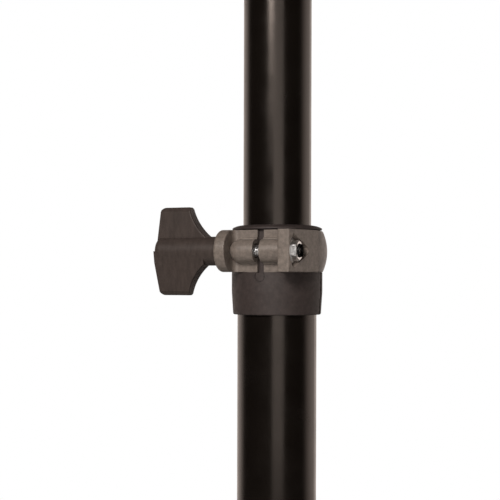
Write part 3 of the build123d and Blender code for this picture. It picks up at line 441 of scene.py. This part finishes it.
class STAND_OT_stage(bpy.types.Operator):
    """Set the floor, the lights, the backdrop and the camera"""

    bl_idname = "stand.stage"
    bl_label = "Stage"

    def execute(self, context):
        stage = context.scene.stand_stage
        self.make_floor(stage)
        self.make_world(context, stage)
        self.make_lights(stage)
        self.make_camera(context, stage)
        context.scene.view_settings.view_transform = "Standard"
        context.scene.view_settings.look = "None"
        return {"FINISHED"}

    def make_floor(self, stage):
        """A disc: (r cos a, r sin a, -drop), with r from 0 to the floor's radius.

        Only the camera sees it glow, so the glow lights nothing.
        """
        rings, spokes = 12, 96
        r, a = np.meshgrid(
            np.linspace(0.02, 1, rings) * stage.floor_radius,
            np.linspace(0, 2 * np.pi, spokes, endpoint=False),
            indexing="ij",
        )
        points = np.stack([r * np.cos(a), r * np.sin(a), 0 * r - FLOOR_DROP], -1).reshape(-1, 3)
        points = np.vstack([points, [[0, 0, -FLOOR_DROP]]])
        grid = np.arange(rings * spokes).reshape(rings, spokes)
        quads = np.stack(
            [grid[:-1], grid[1:], np.roll(grid[1:], -1, 1), np.roll(grid[:-1], -1, 1)], -1
        ).reshape(-1, 4)
        hub = np.stack([grid[0], np.roll(grid[0], -1), np.full(spokes, rings * spokes)], -1)
        mesh = bpy.data.meshes.new("floor")
        mesh.from_pydata(points.tolist(), [], quads.tolist() + hub.tolist())
        floor = bpy.data.objects.new("floor", mesh)
        bpy.context.scene.collection.objects.link(floor)
        paint = Finish("floor_paint", 0.75)
        paint.colour(paint.noise(0.25), FLOOR_PAINT, 0.02)
        glow = paint.nodes.new("ShaderNodeMath")
        glow.operation = "MULTIPLY"
        glow.inputs[1].default_value = stage.floor_glow
        seen = paint.nodes.new("ShaderNodeLightPath").outputs["Is Camera Ray"]
        paint.links.new(seen, glow.inputs[0])
        paint.links.new(glow.outputs["Value"], paint.shader.inputs["Emission Strength"])
        paint.shader.inputs["Emission Color"].default_value = FLOOR_LIGHT
        paint.put_on("floor")

    def make_world(self, context, stage):
        """White to the camera; in reflections, a bright backdrop behind the clamp.

        The backdrop is a band about the horizon, dim away from its middle. It shows in glossy
        reflections only and lights no matt surface.
        """
        world = bpy.data.worlds.new("studio")
        context.scene.world = world
        world.use_nodes = True
        world.cycles_visibility.diffuse = False
        nodes, links = world.node_tree.nodes, world.node_tree.links
        nodes.clear()
        out = nodes.new("ShaderNodeOutputWorld")
        seen = nodes.new("ShaderNodeBackground")
        seen.inputs["Strength"].default_value = 1.0
        seen.inputs["Color"].default_value = (1, 1, 1, 1)
        given = nodes.new("ShaderNodeBackground")
        given.inputs["Color"].default_value = BACKDROP_COLOUR
        strength = self.backdrop_strength(nodes, links, stage.azimuth - BACKDROP_TURN)
        links.new(strength, given.inputs["Strength"])
        path = nodes.new("ShaderNodeLightPath")
        mix = nodes.new("ShaderNodeMixShader")
        links.new(path.outputs["Is Camera Ray"], mix.inputs["Fac"])
        links.new(given.outputs["Background"], mix.inputs[1])
        links.new(seen.outputs["Background"], mix.inputs[2])
        links.new(mix.outputs["Shader"], out.inputs["Surface"])

    def backdrop_strength(self, nodes, links, azimuth):
        """The product of two ramps: one over the angle to the middle, one over the height."""
        direction = nodes.new("ShaderNodeTexCoord").outputs["Generated"]
        dot = nodes.new("ShaderNodeVectorMath")
        dot.operation = "DOT_PRODUCT"
        dot.inputs[1].default_value = (-math.sin(azimuth), math.cos(azimuth), 0)
        links.new(direction, dot.inputs[0])
        height = nodes.new("ShaderNodeSeparateXYZ")
        links.new(direction, height.inputs["Vector"])
        rise = nodes.new("ShaderNodeMath")
        rise.operation = "ABSOLUTE"
        links.new(height.outputs["Z"], rise.inputs[0])
        product = nodes.new("ShaderNodeMath")
        product.operation = "MULTIPLY"
        ramps = ((dot, BACKDROP_ROUND), (rise, BACKDROP_HEIGHT))
        for socket, (factor, limits) in zip(product.inputs, ramps):
            ramp = nodes.new("ShaderNodeMapRange")
            ramp.interpolation_type = "SMOOTHSTEP"
            set_range(ramp, limits)
            links.new(factor.outputs["Value"], ramp.inputs["Value"])
            links.new(ramp.outputs["Result"], socket)
        return product.outputs["Value"]

    def make_lights(self, stage):
        """Soft panels round the clamp, placed from the camera's side."""
        target = Vector((MAST_X, MAST_Y, BOLT[2]))
        for name, turn, elevation, away, size, power in PANELS:
            light = bpy.data.lights.new(name, "AREA")
            light.shape = "RECTANGLE"
            light.size, light.size_y = size
            light.energy = power
            light.color = PANEL_COLOUR
            lamp = bpy.data.objects.new(name, light)
            a = stage.azimuth + math.radians(turn)
            e = math.radians(elevation)
            back = Vector((math.sin(a) * math.cos(e), -math.cos(a) * math.cos(e), math.sin(e)))
            lamp.location = target + back * away
            lamp.rotation_mode = "QUATERNION"
            lamp.rotation_quaternion = back.to_track_quat("Z", "Y")
            bpy.context.scene.collection.objects.link(lamp)

    def make_camera(self, context, stage):
        """A level camera whose shift brings a point near the bolt to the picture's middle."""
        camera = bpy.data.cameras.new("camera")
        camera.sensor_width = SENSOR
        camera.lens = stage.lens
        camera.shift_y = (stage.eye_drop + stage.aim) / stage.distance * stage.lens / SENSOR
        eye = bpy.data.objects.new("camera", camera)
        a = stage.azimuth
        eye.location = (
            MAST_X + math.sin(a) * stage.distance - math.cos(a) * stage.eye_left,
            MAST_Y - math.cos(a) * stage.distance - math.sin(a) * stage.eye_left,
            BOLT[2] - stage.eye_drop,
        )
        eye.rotation_euler = (math.pi / 2, -stage.roll, a)
        context.scene.collection.objects.link(eye)
        context.scene.camera = eye


class STAND_OT_clamp_stud(bpy.types.Operator):
    """Cut the thread on the clamp's stud"""

    bl_idname = "stand.clamp_stud"
    bl_label = "Clamp stud"

    def execute(self, context):
        """A rod along X whose radius follows a helix.

        At x and angle a, the turn is x / pitch - a / 2 pi. Its part over a whole number gives how
        far the point is from a crest, from 0 at its middle to 1 at the middle of a root. The
        radius falls evenly down the flank, between a flat an eighth of the pitch wide on the
        crest and one a quarter wide at the root. A cone bounds both ends.
        """
        thread = context.scene.stand_thread
        start, end = span("clamp_stud", 0)
        end -= STUD_SHORT
        low, high = span("clamp_stud", 2)
        radius = (high - low) / 2
        rows = int((end - start) / thread.pitch * 10)
        x, a = np.meshgrid(
            np.linspace(start, end, rows),
            np.linspace(0, 2 * np.pi, 40, endpoint=False),
            indexing="ij",
        )
        off_crest = np.abs((x / thread.pitch - a / (2 * np.pi)) % 1 - 0.5) * 2
        r = radius - thread.depth * np.clip((off_crest - CREST) / FLANK, 0, 1)
        cone = radius - STUD_POINT + np.minimum(x - start, end - x)
        points = round_x(x, np.minimum(r, cone), a, BOLT)
        piece = surface("threaded_stud", points, "clamp_screw")
        smooth(piece, 30)
        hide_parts("clamp_stud")
        plated("stud_zinc", PALE_ZINC, 0.3).put_on(piece.name)
        return {"FINISHED"}


class STAND_OT_clamp_nut(bpy.types.Operator):
    """Make the clamp's flanged nut, with its corners chamfered"""

    bl_idname = "stand.clamp_nut"
    bl_label = "Clamp nut"

    def execute(self, context):
        """Rings of points round X: bore, seat, flange, hexagon, chamfer, top, and the ring's well.

        The hexagon's radius at angle a is half its flats over the soft maximum of cos(a - 60 k) for
        k from 0 to 5, which eases its corners. The flange's radius is the lesser of its own and of
        the distance to the pocket's two long sides. The chamfer is a cone that cuts the corners.
        """
        start, end = span("clamp_nut", 0)
        a = np.linspace(0, 2 * np.pi, 180, endpoint=False)
        sides = np.maximum(np.cos(a[:, None] - np.radians(60 * np.arange(6))), 0)
        hexagon = NUT_FLATS / 2 / (sides**NUT_EASE).sum(1) ** (1 / NUT_EASE)
        lean = math.radians(FLANGE_CUT_LEAN)
        to_side = np.abs(np.sin(a)) * math.cos(lean) + np.cos(a) * math.sin(lean)
        flange = np.where(to_side > 0.01, FLANGE_CUT / np.maximum(to_side, 0.01), FLANGE_R)
        flange = np.minimum(flange, FLANGE_R)
        bore = BORE_R + 0 * a
        well = WELL_R + 0 * a
        top = start + FLANGE_T
        cone = [
            (end - CHAMFER * back, np.minimum(hexagon, CHAMFER_R + CHAMFER_SPREAD * back))
            for back in np.linspace(1, 0, 5)
        ]
        profile = [
            (start, bore + NUT_RIM),
            (start, flange - NUT_RIM),
            (start + NUT_RIM, flange),
            (top - FLANGE_EDGE, flange),
            (top, flange - FLANGE_EDGE),
            (top, hexagon + NUT_RIM),
            (top + NUT_RIM, hexagon),
            *cone,
            (end, well + NUT_RIM),
            (end - NUT_RIM, well),
            (end - WELL_DEPTH, well),
            (end - WELL_DEPTH, bore),
            (start + NUT_RIM, bore),
        ]
        x = np.stack([place + 0 * a for place, _ in profile])
        r = np.stack([radius for _, radius in profile])
        points = round_x(x, r, a[None], BOLT)
        piece = surface("flange_nut", points, "base", closed_rows=True)
        smooth(piece, 25)
        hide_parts("clamp_nut")
        plated("nut_zinc", PALE_ZINC, 0.34).put_on(piece.name)
        return {"FINISHED"}


class STAND_OT_nut_ring(bpy.types.Operator):
    """Make the nylon ring that locks the clamp's nut"""

    bl_idname = "stand.nut_ring"
    bl_label = "Locking ring"

    def execute(self, context):
        """A ring round X whose outer end is a quarter of an ellipse, from the rim to the bore."""
        start, end = span("clamp_nut_insert", 0)
        a = np.linspace(0, 2 * np.pi, 96, endpoint=False)
        turn = np.linspace(0, np.pi / 2, 10)
        rise = end - start - WELL_DEPTH
        outer = WELL_R - RING_OUT
        inner = BORE_R + RING_IN
        x = np.concatenate([[start, start], start + WELL_DEPTH + rise * np.sin(turn)])
        r = np.concatenate([[inner, outer], inner + (outer - inner) * np.cos(turn)])
        points = round_x(x[:, None], r[:, None] + 0 * a, a[None], BOLT)
        piece = surface("locking_ring", points, "base", closed_rows=True)
        smooth(piece, 40)
        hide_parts("clamp_nut_insert")
        nylon = moulded("ring_nylon", RING_NYLON, 0.35, 0.1, 0.3)
        nylon.shader.inputs["Specular IOR Level"].default_value = RING_SHINE
        nylon.put_on(piece.name)
        return {"FINISHED"}


class STAND_OT_paint_tubes(bpy.types.Operator):
    """Give the mast, the legs and the bracket their satin powder coat"""

    bl_idname = "stand.paint_tubes"
    bl_label = "Tubes"

    def execute(self, context):
        finish = context.scene.stand_finish
        colour, roughness = finish.tube_colour, finish.tube_roughness
        coat = powder_coat("satin_black", colour, roughness, 0.02 * MM, 0.5 * MM)
        coat.put_on("upper_tube", "lower_tube", "desk_bracket", *of_the_legs("tube"))
        return {"FINISHED"}


class STAND_OT_paint_clamp(bpy.types.Operator):
    """Give the clamp collar, the sleeve, the liner and the hub their nylon"""

    bl_idname = "stand.paint_clamp"
    bl_label = "Clamp and hub"

    def execute(self, context):
        finish = context.scene.stand_finish
        grey = moulded("grey_nylon", finish.collar_colour, 0.38, 0.28, 0.3, mottle=1.6)
        grey.put_on("clamp_collar")
        dark = moulded("black_nylon", finish.sleeve_colour, 0.6, 0.24, 0.4)
        dark.put_on("clamp_sleeve", "sleeve_liner", "hub", "tilt_head", *of_the_legs("knuckle"))
        dark.put_on("tube_end_plug", "lower_tube_plug")
        return {"FINISHED"}


class STAND_OT_paint_knobs(bpy.types.Operator):
    """Give the two T-knobs their dark plastic"""

    bl_idname = "stand.paint_knobs"
    bl_label = "Knobs"

    def execute(self, context):
        finish = context.scene.stand_finish
        plastic = moulded("knob_plastic", finish.knob_colour, 0.42, 0.22, 0.25, (1, 1, 4), 1.8)
        plastic.shader.inputs["Specular IOR Level"].default_value = KNOB_SHINE
        plastic.put_on("clamp_knob", "tilt_knob")
        return {"FINISHED"}


class STAND_OT_paint_hardware(bpy.types.Operator):
    """Give the screws, nuts, washers and bushes their metal or plastic"""

    bl_idname = "stand.paint_hardware"
    bl_label = "Hardware"

    def execute(self, context):
        zinc = plated("bright_zinc", BRIGHT_ZINC, 0.22)
        zinc.put_on("clamp_nut", "clamp_stud", "clamp_thrust_washer", "bush_stop_ring")
        zinc.put_on("hub_set_screws", "leg_bolts", "leg_bolt_washers", "leg_lock_nuts")
        zinc.put_on("tilt_head_screws", "tilt_bolt", "tilt_washer")
        zinc.put_on("bracket_rivets", "shelf_rivets")
        plated("turned_brass", BRASS, 0.3).put_on("tilt_knob_insert")
        moulded("locking_nylon", INSERT_NYLON, 0.3, 0.1, 0.3).put_on("clamp_nut_insert")
        moulded("acetal", ACETAL, 0.4, 0.04, 0.4).put_on("guide_bush", "tilt_friction_discs")
        moulded("foot_rubber", RUBBER, 0.75, 0.2, 0.5).put_on(*of_the_legs("foot"))
        return {"FINISHED"}


class STAND_OT_paint_desk(bpy.types.Operator):
    """Give the desk and its shelf their textured powder coat"""

    bl_idname = "stand.paint_desk"
    bl_label = "Desk"

    def execute(self, context):
        colour = context.scene.stand_finish.desk_colour
        coat = powder_coat("desk_coat", colour, 0.5, 0.12 * MM, 0.8 * MM)
        coat.put_on("desk_plate", "desk_shelf")
        return {"FINISHED"}


class STAND_PT_panel(bpy.types.Panel):
    """Buttons for each group of pieces"""

    bl_idname = "STAND_PT_panel"
    bl_label = "Music Stand"
    bl_space_type = "VIEW_3D"
    bl_region_type = "UI"
    bl_category = "Music Stand"

    def draw(self, context):
        for operator in OPERATORS:
            self.layout.operator(operator.bl_idname)
        for settings in ("stand_finish", "stand_thread", "stand_stage"):
            group = getattr(context.scene, settings)
            box = self.layout.box()
            for name in group.bl_rna.properties.keys():
                if name not in ("rna_type", "name"):
                    box.prop(group, name)


SETTINGS = {"stand_finish": StandFinish, "stand_thread": StandThread, "stand_stage": StandStage}
OPERATORS = (
    STAND_OT_stage,
    STAND_OT_clamp_stud,
    STAND_OT_clamp_nut,
    STAND_OT_nut_ring,
    STAND_OT_paint_tubes,
    STAND_OT_paint_clamp,
    STAND_OT_paint_knobs,
    STAND_OT_paint_hardware,
    STAND_OT_paint_desk,
)


def register():
    for name, group in SETTINGS.items():
        bpy.utils.register_class(group)
        setattr(bpy.types.Scene, name, bpy.props.PointerProperty(type=group))
    for cls in (*OPERATORS, STAND_PT_panel):
        bpy.utils.register_class(cls)


def unregister():
    for cls in reversed((*OPERATORS, STAND_PT_panel)):
        bpy.utils.unregister_class(cls)
    for name, group in SETTINGS.items():
        delattr(bpy.types.Scene, name)
        bpy.utils.unregister_class(group)


def main():
    register()
    for operator in OPERATORS:
        category, name = operator.bl_idname.split(".")
        getattr(getattr(bpy.ops, category), name)()


if __name__ == "__main__":
    main()
